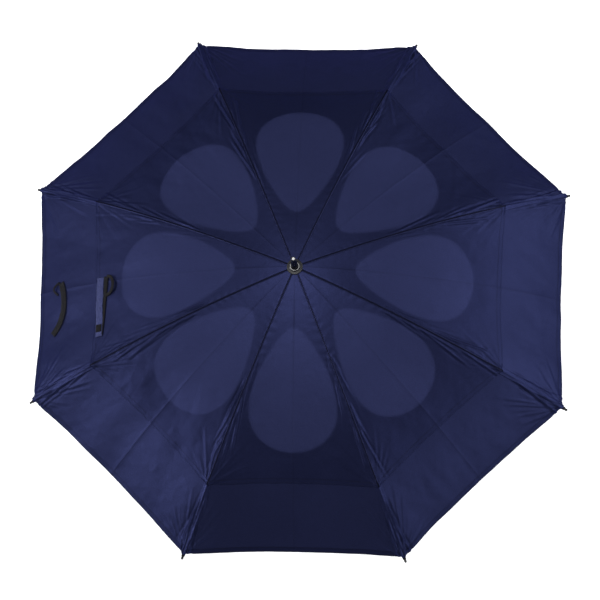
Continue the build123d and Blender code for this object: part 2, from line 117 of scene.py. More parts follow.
# Colours, linear
NAVY = (0.0165, 0.0200, 0.060)
NAVY_GLOW = (0.022, 0.026, 0.071)
# colour of thread and seams, also used for the painted shade along the creases
THREAD_AND_CREASE_SHADE = (0.006, 0.006, 0.010)


def rib_angle(index):
    return radians(FIRST_RIB + STEP * (index - 1))


# ---------------------------------------------------------------- noise


def lattice(ix, iy, seed):
    """Repeatable value in 0..1 for each whole-number corner."""
    mixed = np.sin(ix * 127.1 + iy * 311.7 + seed * 74.7) * 43758.5453
    return mixed - np.floor(mixed)


def noise(x, y, seed):
    """Smooth value noise, -1..1."""
    ix, iy = np.floor(x), np.floor(y)
    fx, fy = x - ix, y - iy
    fx, fy = fx * fx * (3 - 2 * fx), fy * fy * (3 - 2 * fy)
    low = lattice(ix, iy, seed) * (1 - fx) + lattice(ix + 1, iy, seed) * fx
    high = lattice(ix, iy + 1, seed) * (1 - fx) + lattice(ix + 1, iy + 1, seed) * fx
    return (low * (1 - fy) + high * fy) * 2 - 1


# ---------------------------------------------------------------- cloth surface


def rib_point(station, lift=0.0):
    """(radius, height) at a station along the rib's curve, lifted off it at right angles."""
    slope = RIB_START_SLOPE + station / RIB_BOW
    radius = HINGE_RADIUS + RIB_BOW * (sin(slope) - sin(RIB_START_SLOPE)) + lift * sin(slope)
    height = HINGE_Z - RIB_BOW * (cos(RIB_START_SLOPE) - cos(slope)) + lift * cos(slope)
    return radius, height


def circle_through(a, b, c):
    """Centre and radius of the circle through three (x, z) points."""
    rows = np.array([[2 * (b[0] - a[0]), 2 * (b[1] - a[1])], [2 * (c[0] - a[0]), 2 * (c[1] - a[1])]])
    start = a[0] ** 2 + a[1] ** 2
    sums = np.array([b[0] ** 2 + b[1] ** 2 - start, c[0] ** 2 + c[1] ** 2 - start])
    centre = np.linalg.solve(rows, sums)
    return centre[0], centre[1], sqrt((a[0] - centre[0]) ** 2 + (a[1] - centre[1]) ** 2)


RIM_RADIUS = rib_point(RIM_STATION)[0]
mid_radius, mid_z = rib_point(0.45 * RIM_STATION, CLOTH_LIFT)
end_radius, end_z = rib_point(RIM_STATION + 0.012, CLOTH_LIFT)
crease_mid, crease_end = (mid_radius * COS_HALF, mid_z), (end_radius * COS_HALF, end_z)
ARC_X, ARC_Z, ARC_R = circle_through((0, APEX_Z), crease_mid, crease_end)


def cloth_height(x):
    """Underside of the lower cloth at a distance x out along the crease."""
    return ARC_Z + np.sqrt(ARC_R**2 - (x - ARC_X) ** 2)


def cloth_slope(x):
    return -(x - ARC_X) / np.sqrt(ARC_R**2 - (x - ARC_X) ** 2)


def edge_at(share, corner_radius, hollow):
    """x of the hollow outer edge on the ray that is that share of the way from crease to rib."""
    straight = corner_radius * COS_HALF
    edge_y = corner_radius * SIN_HALF
    bend = (edge_y**2 + hollow**2) / (2 * hollow)
    x = np.full_like(share, straight)
    for _ in range(12):
        x = straight - hollow + bend - np.sqrt(bend**2 - (share * x * TAN_HALF) ** 2)
    return x


LAYERS = {
    "lower": {
        "rise": 0.0, "corner": RIM_RADIUS, "hollow": RIM_HOLLOW, "columns": 74,
        "fold_length": 0.19, "fold_height": 0.0034, "rib_folds_from": (0.50, 0.58),
    },
    "upper": {
        "rise": UPPER_RISE, "corner": UPPER_HEM, "hollow": UPPER_HEM_HOLLOW, "columns": 64,
        "fold_length": 0.17, "fold_height": 0.0020, "rib_folds_from": (0.20, 0.40),
    },
}


def folds_at_corner(reach, bearing, seed, count, longest, tallest):
    """Long narrow pulled folds that fan out from a held corner; bearing 0 runs along the rib to the shaft."""
    chance = np.random.default_rng(seed)
    height = np.zeros_like(reach)
    for k in range(count):
        lean = radians(3 + 56 * (k + chance.uniform(-0.3, 0.3)) / count)
        length = longest * chance.uniform(0.3, 1.0) * (1 - 0.35 * k / count)
        tall = tallest * chance.uniform(0.35, 1.0)
        along, off = reach * np.cos(bearing - lean), reach * np.sin(bearing - lean)
        width = 0.0019 + 0.013 * np.clip(along, 0, None)
        fade = np.clip(along / 0.012, 0, 1) * np.clip(1 - along / length, 0, 1) ** 0.8
        ridge, groove = np.exp(-((off / width) ** 2)), np.exp(-(((off - 1.7 * width) / width) ** 2))
        height += tall * fade * (ridge - 0.5 * groove)
    return height


def folds_by_rib(x, from_rib, seed, start, end, count, tallest):
    """Drawn folds that leave the seam at a few degrees and run outwards beside the rib."""
    chance = np.random.default_rng(seed)
    height = np.zeros_like(x)
    for _ in range(count):
        origin, length = chance.uniform(start, end), chance.uniform(0.05, 0.15)
        lean, tall = radians(chance.uniform(3, 13)), tallest * chance.uniform(0.3, 1.0)
        along = x - origin
        off = from_rib - 0.004 - along * tan(lean)
        fade = np.clip(along / 0.02, 0, 1) * np.clip((length - along) / 0.04, 0, 1)
        ridge, groove = np.exp(-((off / 0.0024) ** 2)), np.exp(-(((off - 0.005) / 0.0028) ** 2))
        height += tall * fade * (ridge - 0.6 * groove)
    return height


def relief(layer, panel, rib, x, y):
    """How far the cloth stands off its smooth surface, in metres, on one panel beside one rib."""
    spec = LAYERS[layer]
    corner = spec["corner"]
    rim_x = RIM_RADIUS * COS_HALF
    from_rib = np.maximum(x * TAN_HALF - np.abs(y), 0) * COS_HALF
    off_rib = 1 - np.exp(-from_rib / 0.012)
    out = np.clip(x / rim_x, 0, 1)
    side = np.where(y >= 0, 1, -1)

    # shared by both layers, so that they stay apart
    broad = BROAD_WAVES[0] * noise(x / 0.19, y / 0.085, panel)
    broad = broad + BROAD_WAVES[1] * noise(x / 0.07, y / 0.045, panel + 3)
    sag = SAG_AT_RIM * out**2 * np.clip(from_rib / (0.4 * rim_x * TAN_HALF), 0, 1) ** 1.3
    height = off_rib * broad * np.clip(out * 3, 0, 1) - sag

    # each layer's own
    own = panel + (0 if layer == "lower" else 20)
    free = 1.0 if layer == "upper" else np.clip((x - (UPPER_HEM + 0.004) * COS_HALF) / 0.03, 0.12, 1)
    crumple = CRUMPLE[0] * noise(x / 0.024, y / 0.020, own + 5)
    crumple = crumple + CRUMPLE[1] * noise(x / 0.012, y / 0.011, own + 6)
    height += free * off_rib * crumple * (0.35 + 0.65 * np.clip((out - 0.45) / 0.25, 0, 1))
    wave = np.sin(x / 0.0032 + 3 * noise(x / 0.05, 0 * x, rib + 40))
    pucker = np.exp(-from_rib / 0.008) * (1 - np.exp(-from_rib / 0.002))
    height += SEAM_PUCKER * free * wave * pucker * np.clip(out * 3, 0, 1)

    dx, dy = corner * COS_HALF - x, corner * SIN_HALF - np.abs(y)
    reach = np.hypot(dx, dy)
    bearing = np.arctan2(dx, dy) - (np.pi / 2 - HALF)
    for way in (-1, 1):
        here = np.where(side == way, 1.0, 0.0) * free
        marks = own * 7 + (way + 1) * 300
        longest, tallest = spec["fold_length"], spec["fold_height"]
        height += here * folds_at_corner(reach, np.abs(bearing), marks, CORNER_FOLDS, longest, tallest)
        start, end = spec["rib_folds_from"]
        height += here * folds_by_rib(x, from_rib, marks + 11, start, end, RIB_FOLDS, RIB_FOLD_HEIGHT)

    to_edge = np.maximum(corner * COS_HALF - x, 0)
    flutter = noise(y / 0.05, 0 * y + 0.5, own + 12) + 0.5 * noise(y / 0.019, 0 * y + 0.5, own + 13)
    height += RIM_FLUTTER * flutter * np.exp(-to_edge / 0.02) * off_rib
    height += CREASE_RIDGE * np.exp(-np.abs(y) / 0.003) * np.clip(out * 5, 0, 1)
    height += SEAM_RIDGE * np.exp(-((from_rib / 0.0015) ** 2))
    height -= SEAM_GROOVE * np.exp(-(((from_rib - 0.0028) / 0.0008) ** 2))
    return height


def on_cloth(layer, rib, side, x, y, lift=0.0):
    """Row frame points for panel coordinates beside a rib; side +1 is the panel anticlockwise of it."""
    panel = rib if side > 0 else (rib - 2) % RIBS + 1
    centre = rib_angle(rib) + side * HALF
    slope = cloth_slope(x)
    length = np.sqrt(1 + slope**2)
    off = relief(layer, panel, rib, x, y) + lift + SEAT
    out = x - slope / length * off
    height = cloth_height(x) + LAYERS[layer]["rise"] + off / length
    px = out * cos(centre) - y * sin(centre)
    py = out * sin(centre) + y * cos(centre)
    return np.stack([px, py, height], axis=-1)


def rib_to_panel(radius, across, side):
    """Panel coordinates of a place, from its distance out along the rib and its distance across from it."""
    x = radius * COS_HALF + np.abs(across) * SIN_HALF
    y = -side * (radius * SIN_HALF - np.abs(across) * COS_HALF)
    return x, y


# ---------------------------------------------------------------- meshes


def add_object(name, points, faces, material, body, numbers=None, uv=None):
    """A mesh object in the row frame that rides on a body; numbers are values per point for its shader."""
    mesh = bpy.data.meshes.new(name)
    mesh.from_pydata([tuple(map(float, p)) for p in points], [], [tuple(map(int, f)) for f in faces])
    mesh.validate()
    for key, values in (numbers or {}).items():
        attribute = mesh.attributes.new(key, "FLOAT", "POINT")
        attribute.data.foreach_set("value", np.asarray(values, np.float32))
    if uv is not None:
        layer = mesh.uv_layers.new(name="UVMap")
        loops = np.zeros(len(mesh.loops), np.int32)
        mesh.loops.foreach_get("vertex_index", loops)
        layer.data.foreach_set("uv", np.asarray(uv, np.float32)[loops].ravel())
    mesh.polygons.foreach_set("use_smooth", [True] * len(mesh.polygons))
    mesh.materials.append(material)
    mesh.update()
    thing = bpy.data.objects.new(name, mesh)
    bpy.context.scene.collection.objects.link(thing)
    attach(thing, body)
    return thing


def grid_faces(rows, columns, start=0, wrap=False):
    """Quads between rows x columns points in row order."""
    faces = []
    last = columns if wrap else columns - 1
    for i in range(rows - 1):
        for j in range(last):
            a = start + i * columns + j
            b = start + i * columns + (j + 1) % columns
            faces.append((a, b, b + columns, a + columns))
    return faces


def furl(piece):
    """Gives the piece its own copy of its mesh."""
    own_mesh(piece)


def vent_outline(count):
    """(x, y) points round half a vent: an egg from its narrow end, y up from 0 and back."""
    turn = np.linspace(0, np.pi, count)
    middle, half = (VENT["outer"] + VENT["inner"]) / 2, (VENT["outer"] - VENT["inner"]) / 2
    swell = np.sin(turn) * (1 - VENT["egg"] * np.cos(turn))
    return middle - half * np.cos(turn), VENT["half_width"] * swell / swell.max()


def gore_levels(layer):
    """x of each row across the cloth, and the vent's half width there; the last two make a crisp edge."""
    spec = LAYERS[layer]
    last = spec["corner"] * COS_HALF - spec["hollow"]
    if layer == "upper":
        levels = np.append(np.linspace(CLOTH_HOLE, last - 0.0008, 150), last)
        return levels, 0 * levels
    xs, ys = vent_outline(64)
    inner = np.linspace(CLOTH_HOLE, xs[0], 34)[:-1]
    outer = np.append(np.linspace(xs[-1], last - 0.0008, 76)[1:], last)
    return np.concatenate([inner, xs, outer]), np.concatenate([0 * inner, np.maximum(ys, 0), 0 * outer])


# Distances from the rib that get a column of points, so that the seam is crisp
NEAR_RIB = np.array([0, 0.5, 1.0, 1.6, 2.3, 3.1, 4.0, 5.2]) / 1000

# The hem's turn, as (outwards, down) from the edge
TURN_OF_HEM = [(0.0004, 0.0003), (0.0003, 0.0008), (-0.002, 0.0010), (-HEM_WIDTH, 0.0010)]


def gore_mesh(layer, rib):
    """Points, faces and shader numbers of the cloth from crease to crease over one rib, with a turned hem.

    The lower gore's edge leaves the crease to go round half of each vent.
    """
    spec = LAYERS[layer]
    levels, vent = gore_levels(layer)
    grids = {"point": [], "to_rib": [], "to_crease": [], "to_hem": [], "uv": []}
    for side in (-1, 1):
        room = (levels * TAN_HALF - vent) * COS_HALF
        squeeze = np.minimum(1, room / (2.2 * NEAR_RIB[-1]))[:, None]
        near = NEAR_RIB[None, :] * squeeze
        spread = np.linspace(0, 1, spec["columns"])[1:][None, :] ** 1.4
        far = near[:, -1:] + (room[:, None] - near[:, -1:]) * spread
        from_rib = np.concatenate([near, far], axis=1)
        x = levels[:, None] * np.ones_like(from_rib)
        across = x * TAN_HALF - from_rib / COS_HALF
        # the last rows lean in step by step to end on the hollow edge
        share = across / (x * TAN_HALF)
        edge = edge_at(share, spec["corner"], spec["hollow"])
        push = np.clip((x / levels[-1] - 0.55) / 0.45, 0, 1)
        x = x + (edge - levels[-1]) * push
        from_rib = from_rib * x / levels[:, None]
        edge = edge_at(share[-1], spec["corner"], spec["hollow"])
        drop = np.zeros_like(x)
        x = np.vstack([x, [edge + step for step, _ in TURN_OF_HEM]])
        drop = np.vstack([drop, [np.full_like(edge, fall) for _, fall in TURN_OF_HEM]])
        share = np.vstack([share, [share[-1]] * len(TURN_OF_HEM)])
        from_rib = np.vstack([from_rib, [from_rib[-1]] * len(TURN_OF_HEM)])
        y = -side * share * x * TAN_HALF
        to_hem = edge[None, :] - x + 10 * (drop > 0.0005)
        parts = {"point": on_cloth(layer, rib, side, x, y, -drop), "to_rib": from_rib, "to_crease": np.abs(y),
                 "to_hem": to_hem, "uv": np.stack([y * 10 + side * 5, x * 10], axis=-1)}
        for key, values in parts.items():
            grids[key].append(values if side > 0 else np.flip(values, axis=1)[:, :-1])
    joined = {key: np.concatenate(values, axis=1) for key, values in grids.items()}
    rows, columns = joined["to_rib"].shape
    numbers = {key: joined[key].ravel() for key in ("to_rib", "to_crease", "to_hem")}
    return joined["point"].reshape(-1, 3), grid_faces(rows, columns), numbers, joined["uv"].reshape(-1, 2)


def ribbon(name, centre, across, up, width, thickness, material, body, rows_across=5, crumple=0.0):
    """A flat tape of real thickness along centre points, with softly rounded edges and a closed outline."""
    centre, across, up = (np.asarray(v, float) for v in (centre, across, up))
    scale = (np.broadcast_to(width, len(centre)) / np.max(width))[:, None, None]
    width = np.max(width)
    t = np.linspace(-1, 1, rows_across)
    swell = np.sqrt(np.clip(1 - np.abs(t) ** 6, 0, 1))
    half_thick = (0.15 + 0.85 * swell) * thickness / 2
    ring = [(s * width / 2, h) for s, h in zip(t, half_thick)]
    ring += [(s * width / 2, -h) for s, h in zip(t[::-1], half_thick[::-1])]
    ring = np.array(ring)
    points = centre[:, None, :] + across[:, None, :] * ring[None, :, :1] * scale
    points = points + up[:, None, :] * ring[None, :, 1:]
    rows, columns = points.shape[:2]
    run = np.arange(rows)[:, None] / 4 + 0 * ring[None, :, 0]
    spot = ring[None, :, 0] / 0.004 + 0 * run
    uneven = crumple * (noise(run, spot, 4) + 0.6 * noise(run * 2.3, spot * 1.7, 5))
    points = points + up[:, None, :] * uneven[..., None]
    faces = [list(f) for f in grid_faces(rows, columns, wrap=True)]
    faces.append(list(range(columns))[::-1])
    faces.append([(rows - 1) * columns + j for j in range(columns)])
    along = np.concatenate([[0], np.cumsum(np.linalg.norm(np.diff(centre, axis=0), axis=1))])
    uv = np.stack([np.tile(ring[:, 0] * 10, rows), np.repeat(along * 10, columns)], axis=-1)
    return add_object(name, points.reshape(-1, 3), faces, material, body, uv=uv)


def unit(vectors):
    return vectors / np.linalg.norm(vectors, axis=-1, keepdims=True)


LOZENGE_FACES = ((0, 1, 2), (0, 2, 3), (4, 2, 1), (4, 3, 2), (0, 5, 1), (0, 3, 5), (4, 1, 5), (4, 5, 3))


def stitch_row(path, up, length, gap, thick):
    """Small lozenges of thread laid end to end along a path; returns points and faces."""
    path, up = np.asarray(path, float), np.asarray(up, float)
    along = np.concatenate([[0], np.cumsum(np.linalg.norm(np.diff(path, axis=0), axis=1))])
    starts = np.arange(gap, along[-1] - length, length + gap)
    points, faces = [], []
    for start in starts:
        ends = []
        for s in (start, start + length / 2, start + length):
            ends.append([np.interp(s, along, path[:, k]) for k in range(3)])
        normal = unit(np.array([np.interp(start, along, up[:, k]) for k in range(3)]))
        a, m, b = (np.array(e) for e in ends)
        sideways = unit(np.cross(b - a, normal))
        base = len(points)
        points += [a, m + sideways * thick / 2, m + normal * thick * 0.7]
        points += [m - sideways * thick / 2, b, m - normal * thick * 0.3]
        faces += [tuple(base + k for k in f) for f in LOZENGE_FACES]
    return points, faces


def lathe(name, profile, material, body, turns):
    """Solid of revolution about the shaft from (radius, height) points."""
    profile = np.asarray(profile, float)
    angle = np.linspace(0, 2 * np.pi, turns, endpoint=False)
    radius = profile[:, :1] * np.ones(turns)
    height = profile[:, 1:] * np.ones(turns)
    points = np.stack([radius * np.cos(angle), radius * np.sin(angle), height], axis=-1).reshape(-1, 3)
    faces = grid_faces(len(profile), turns, wrap=True)
    uv = np.stack([np.tile(angle, len(profile)), np.repeat(profile[:, 1] * 10, turns)], axis=-1)
    return add_object(name, points, faces, material, body, uv=uv)


# ---------------------------------------------------------------- materials


class Shader:
    """A node material built step by step; each step returns an output socket."""

    def __init__(self, name):
        self.material = bpy.data.materials.new(name)
        self.material.use_nodes = True
        self.tree = self.material.node_tree
        self.surface = self.tree.nodes["Principled BSDF"]
        self.output = self.tree.nodes["Material Output"]

    def plug(self, socket, value):
        if isinstance(value, bpy.types.NodeSocket):
            self.tree.links.new(value, socket)
        elif isinstance(value, (tuple, list)) and len(value) == 3 and socket.type == "RGBA":
            socket.default_value = (*value, 1)
        else:
            socket.default_value = value

    def node(self, kind, values=(), out=0, **settings):
        made = self.tree.nodes.new(kind)
        for key, value in settings.items():
            setattr(made, key, value)
        for key, value in dict(values).items():
            self.plug(made.inputs[key], value)
        return made.outputs[out]

    def math(self, operation, a, b=0.0):
        return self.node("ShaderNodeMath", {0: a, 1: b}, operation=operation)

    def where(self, name="Object"):
        return self.tree.nodes.new("ShaderNodeTexCoord").outputs[name]

    def number(self, name):
        made = self.tree.nodes.new("ShaderNodeAttribute")
        made.attribute_name = name
        return made.outputs["Fac"]

    def noise(self, scale, detail=3.0, rough=0.5, vector=None):
        values = {"Scale": scale, "Detail": detail, "Roughness": rough, "Vector": vector or self.where()}
        return self.node("ShaderNodeTexNoise", values)

    def fall(self, value, start, end):
        """1 below start, 0 above end, smooth between."""
        values = {"Value": value, "From Min": start, "From Max": end, "To Min": 1.0, "To Max": 0.0}
        return self.node("ShaderNodeMapRange", values, interpolation_type="SMOOTHSTEP")

    def scale_map(self, value, low, high):
        return self.node("ShaderNodeMapRange", {"Value": value, "To Min": low, "To Max": high})

    def mix(self, share, a, b, blend="MIX"):
        made = self.tree.nodes.new("ShaderNodeMix")
        made.data_type, made.blend_type = "RGBA", blend
        for key, value in ((0, share), (6, a), (7, b)):
            self.plug(made.inputs[key], value)
        return made.outputs[2]

    def bump(self, height, strength, distance, normal=None):
        values = {"Height": height, "Strength": strength, "Distance": distance}
        if normal is not None:
            values["Normal"] = normal
        return self.node("ShaderNodeBump", values)

    def shaded(self, colour, amount):
        """The colour times a grey amount."""
        grey = self.node("ShaderNodeCombineColor", {"Red": amount, "Green": amount, "Blue": amount})
        return self.mix(1.0, colour, grey, "MULTIPLY")

    def finish(self, **values):
        for key, value in values.items():
            self.plug(self.surface.inputs[key.replace("_", " ")], value)
        return self.material


def weave(shader, threads):
    """Over-and-under height of a plain weave with that many threads per UV unit."""
    flat = shader.where("UV")
    across = shader.node("ShaderNodeTexWave", {"Vector": flat, "Scale": threads}, "Fac", bands_direction="X")
    along = shader.node("ShaderNodeTexWave", {"Vector": flat, "Scale": threads}, "Fac", bands_direction="Y")
    return shader.math("MAXIMUM", across, along)


def canopy_cloth(name, tone=1.0, glow_share=0.38):
    """Pongee: fine weave, satin shine, light that shows through a single layer, seams, and painted shade along
    the creases.
    """
    s = Shader(name)
    to_rib, to_crease, to_hem = s.number("to_rib"), s.number("to_crease"), s.number("to_hem")
    navy = tuple(channel * tone for channel in NAVY)
    patch = s.scale_map(s.noise(5.0, 2.0), 0.86, 1.16)
    fibre = s.scale_map(s.noise(420.0, 2.0, 0.7), 0.55, 1.50)
    tint = s.math("MULTIPLY", patch, fibre)
    colour = s.shaded(navy, tint)
    seam = s.fall(to_rib, 0.0003, 0.0016)
    colour = s.mix(s.math("MULTIPLY", seam, 0.88), colour, THREAD_AND_CREASE_SHADE)
    # painted shade: the cloth is darkened a little towards the thread colour along each crease
    painted_crease_shade = s.fall(to_crease, 0.0004, 0.0032)
    colour = s.mix(s.math("MULTIPLY", painted_crease_shade, 0.12), colour, THREAD_AND_CREASE_SHADE)
    hem_line = s.fall(s.math("ABSOLUTE", s.math("SUBTRACT", to_hem, HEM_WIDTH)), 0.0004, 0.0014)
    colour = s.mix(s.math("MULTIPLY", hem_line, 0.22), colour, THREAD_AND_CREASE_SHADE)
    threads = weave(s, 42.0)
    crumple = s.noise(55.0, 4.0, 0.62)
    normal = s.bump(crumple, 0.30, 0.0016)
    normal = s.bump(threads, 0.12, 0.0002, normal)
    rough = s.scale_map(s.noise(9.0, 3.0), 0.41, 0.52)
    s.finish(Base_Color=colour, Roughness=rough, Normal=normal, Metallic=0.65, Specular_IOR_Level=0.02,
             Specular_Tint=(0.25, 0.3, 0.6))
    passing = s.mix(s.math("MULTIPLY", seam, 0.95), NAVY_GLOW, THREAD_AND_CREASE_SHADE)
    glow = s.node("ShaderNodeBsdfTranslucent", {"Color": passing, "Normal": normal})
    both = s.node("ShaderNodeMixShader", {0: glow_share, 1: s.surface.outputs[0], 2: glow})
    s.tree.links.new(both, s.output.inputs["Surface"])
    return s.material


def woven_tape(name, colour, threads=26.0):
    """Coarse weave, rubbed lighter in places."""
    s = Shader(name)
    wear = s.scale_map(s.noise(60.0, 4.0), 0.75, 1.3)
    tint = s.shaded(colour, wear)
    normal = s.bump(s.noise(70.0, 4.0), 0.7, 0.004)
    normal = s.bump(weave(s, threads), 0.5, 0.0004, normal)
    normal = s.bump(s.noise(900.0, 2.0), 0.2, 0.0002, normal)
    return s.finish(Base_Color=tint, Roughness=0.8, Normal=normal, Specular_IOR_Level=0.12)


def hook_pad(name):
    """Hook tape: close rows of tiny dark hooks."""
    s = Shader(name)
    dots = s.node("ShaderNodeTexVoronoi", {"Vector": s.where(), "Scale": 900.0})
    normal = s.bump(dots, 0.9, 0.0006)
    shade = s.mix(s.scale_map(dots, 0.0, 1.0), (0.0015, 0.0015, 0.002), (0.005, 0.005, 0.007))
    return s.finish(Base_Color=shade, Roughness=0.55, Normal=normal, Specular_IOR_Level=0.05)


def moulded(name, colour, rough, grain=260.0, depth=0.25, shine=0.3):
    """Moulded plastic: fine spark-eroded grain, slightly uneven gloss, lighter dusty patches."""
    s = Shader(name)
    spots = s.noise(grain, 5.0, 0.6)
    dusty = tuple(1.9 * channel + 0.004 for channel in colour)
    tone = s.mix(s.scale_map(s.noise(34.0, 3.0), 0.0, 0.5), colour, dusty)
    gloss = s.scale_map(s.noise(70.0, 3.0), rough * 0.85, rough * 1.2)
    normal = s.bump(spots, depth, 0.0002)
    return s.finish(Base_Color=tone, Roughness=gloss, Normal=normal, Specular_IOR_Level=shine)


def metal(name, colour, rough):
    """Plated steel with fine scratches along it and dull patches."""
    s = Shader(name)
    stretch = s.node("ShaderNodeMapping", {"Vector": s.where(), "Scale": (900.0, 900.0, 14.0)})
    lines = s.noise(1.0, 4.0, 0.6, stretch)
    gloss = s.scale_map(lines, rough * 0.8, rough * 1.35)
    shade = s.mix(s.scale_map(s.noise(25.0, 4.0), 0.0, 0.35), colour, tuple(c * 0.6 for c in colour))
    return s.finish(Base_Color=shade, Metallic=1.0, Roughness=gloss, Normal=s.bump(lines, 0.18, 0.0001))


def lacquered(name, colour, rough):
    """Black lacquer over tube or channel, with fine runs along it and rubbed spots."""
    s = Shader(name)
    stretch = s.node("ShaderNodeMapping", {"Vector": s.where(), "Scale": (240.0, 240.0, 30.0)})
    runs = s.noise(1.0, 3.0, 0.5, stretch)
    rubbed = s.fall(s.noise(48.0, 5.0, 0.7), 0.30, 0.36)
    shade = s.mix(s.math("MULTIPLY", rubbed, 0.5), colour, (0.09, 0.09, 0.095))
    gloss = s.scale_map(runs, rough * 0.8, rough * 1.3)
    return s.finish(Base_Color=shade, Roughness=gloss, Normal=s.bump(runs, 0.12, 0.0002), Coat_Weight=0.3)


def foam(name):
    """Closed-cell foam with fine pores."""
    s = Shader(name)
    pores = s.node("ShaderNodeTexVoronoi", {"Vector": s.where(), "Scale": 950.0})
    skin = s.noise(160.0, 5.0, 0.65)
    normal = s.bump(pores, 0.45, 0.0004)
    normal = s.bump(skin, 0.25, 0.0006, normal)
    shade = s.mix(s.scale_map(skin, 0.0, 1.0), (0.004, 0.004, 0.005), (0.013, 0.013, 0.014))
    return s.finish(Base_Color=shade, Roughness=0.85, Normal=normal, Specular_IOR_Level=0.2)


CLOTH_UPPER = canopy_cloth("cloth_upper")
CLOTH_LOWER = canopy_cloth("cloth_lower", 0.66, 0.10)
CLOTH_BAND = canopy_cloth("cloth_band", 0.8, 0.05)
CLOTH_TAPE = woven_tape("cloth_tape", (0.016, 0.018, 0.048), 40.0)
CLOTH_STRAP = woven_tape("cloth_strap", (0.024, 0.029, 0.082), 40.0)
BLACK_TAPE = woven_tape("black_tape", (0.0030, 0.0030, 0.0045))
HOOK = hook_pad("hook_pad")
THREAD_MATERIAL = woven_tape("sewing_thread", (0.006, 0.007, 0.016), 90.0)
BLACK_PLASTIC = moulded("black_plastic", (0.006, 0.006, 0.007), 0.36, shine=0.14)
GLOSS_PLASTIC = moulded("gloss_plastic", (0.002, 0.002, 0.004), 0.09, 500.0, 0.02, 0.45)
STEEL = metal("zinc_steel", (0.58, 0.58, 0.60), 0.28)
SHAFT_BLACK = lacquered("shaft_black", (0.010, 0.010, 0.011), 0.30)
ROD_BLACK = lacquered("rod_black", (0.013, 0.013, 0.014), 0.38)
CHANNEL_BLACK = lacquered("channel_black", (0.014, 0.014, 0.015), 0.34)
FOAM = foam("grip_foam")

SLOT_MATERIALS = {
    "shaft_fibreglass": SHAFT_BLACK, "rib_fibreglass": ROD_BLACK, "black_plastic": BLACK_PLASTIC,
    "gloss_black_plastic": GLOSS_PLASTIC, "steel": STEEL, "stretcher_steel": CHANNEL_BLACK,
    "grip_foam": FOAM, "canopy_cloth": CLOTH_UPPER, "black_webbing": BLACK_TAPE,
}


def dress_cad_nodes():
    slots = {entry["node"]: entry["material_slot"] for entry in frame["record"]["subparts"]}
    for name, thing in frame["nodes"].items():
        material = SLOT_MATERIALS[slots[name]]
        if not thing.material_slots:
            thing.data.materials.append(material)
        for place in thing.material_slots:
            place.material = material


# ---------------------------------------------------------------- canopy


def cloth_normal(x, side, rib):
    centre = rib_angle(rib) + side * HALF
    slope = cloth_slope(np.asarray(x, float))
    return unit(np.stack([-slope * cos(centre), -slope * sin(centre), np.ones_like(slope)], axis=-1))


def edge_path(layer, rib, side, inset, lift, count=90):
    """Points and normals along the outer edge of one half panel, set in from it."""
    spec = LAYERS[layer]
    share = np.linspace(0.004, 0.985, count)
    x = edge_at(share, spec["corner"], spec["hollow"]) - inset
    y = -side * share * x * TAN_HALF
    return on_cloth(layer, rib, side, x, y, lift), cloth_normal(x, side, rib)


def rib_path(layer, rib, side, across, start, end, lift, count=120):
    """Points and normals along a line beside the rib."""
    radius = np.linspace(start, end, count)
    x, y = rib_to_panel(radius, np.full_like(radius, across), side)
    return on_cloth(layer, rib, side, x, y, lift), cloth_normal(x, side, rib)


def gather(rows):
    """One list of points and one of faces from several."""
    points, faces = [], []
    for row_points, row_faces in rows:
        faces += [tuple(k + len(points) for k in f) for f in row_faces]
        points += row_points
    return points, faces


def make_gore(layer, rib):
    points, faces, numbers, uv = gore_mesh(layer, rib)
    material = CLOTH_UPPER if layer == "upper" else CLOTH_LOWER
    cloth = add_object(f"{layer}_cloth_{rib}", points, faces, material, f"rib_{rib}", numbers, uv)
    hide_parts(f"{layer}_canopy_gore_{rib}")
    return cloth


def make_stitching(layer, rib):
    """Two rows along each hem and one beside each side of the rib, where that layer shows."""
    length, gap, thick, lift = 0.0032, 0.0012, 0.0006, 0.0002
    start = 0.03 if layer == "upper" else UPPER_HEM + 0.004
    end = LAYERS[layer]["corner"] - 0.004
    rows = []
    for side in (-1, 1):
        for inset in (0.0018, HEM_WIDTH - 0.0012):
            rows.append(stitch_row(*edge_path(layer, rib, side, inset, lift), length, gap, thick))
        rows.append(stitch_row(*rib_path(layer, rib, side, 0.0028, start, end, lift), length, gap, thick))
    points, faces = gather(rows)
    piece = add_object(f"{layer}_stitching_{rib}", points, faces, THREAD_MATERIAL, f"rib_{rib}")
    return piece


def make_vent_binding(rib):
    """Folded tape sewn over the raw edge of the two half vents beside a rib."""
    width, thick = 0.0075, 0.00066
    points, faces = [], []
    for side in (-1, 1):
        xs, ys = vent_outline(90)
        tangent = unit(np.gradient(np.stack([xs, ys], axis=-1), axis=0))
        out_x, out_y = -tangent[:, 1], tangent[:, 0]
        # outwards from the vent's edge, and up in thicknesses of tape
        fold = [(-0.0012, -1.0), (-0.0014, 0.0), (-0.0006, 0.6), (width * 0.5, 0.55), (width, 0.25)]
        rings = []
        for offset, layers_up in fold:
            x = xs + out_x * offset
            y = -side * np.maximum(ys + out_y * offset, 0)
            rings.append(on_cloth("lower", rib, side, x, y, layers_up * thick))
        grid = np.stack(rings, axis=1)
        faces += grid_faces(grid.shape[0], grid.shape[1], len(points))
        points += list(grid.reshape(-1, 3))
    uv = np.asarray(points)[:, :2] * 10
    piece = add_object(f"vent_binding_{rib}", points, faces, CLOTH_TAPE, f"rib_{rib}", uv=uv)
    return piece


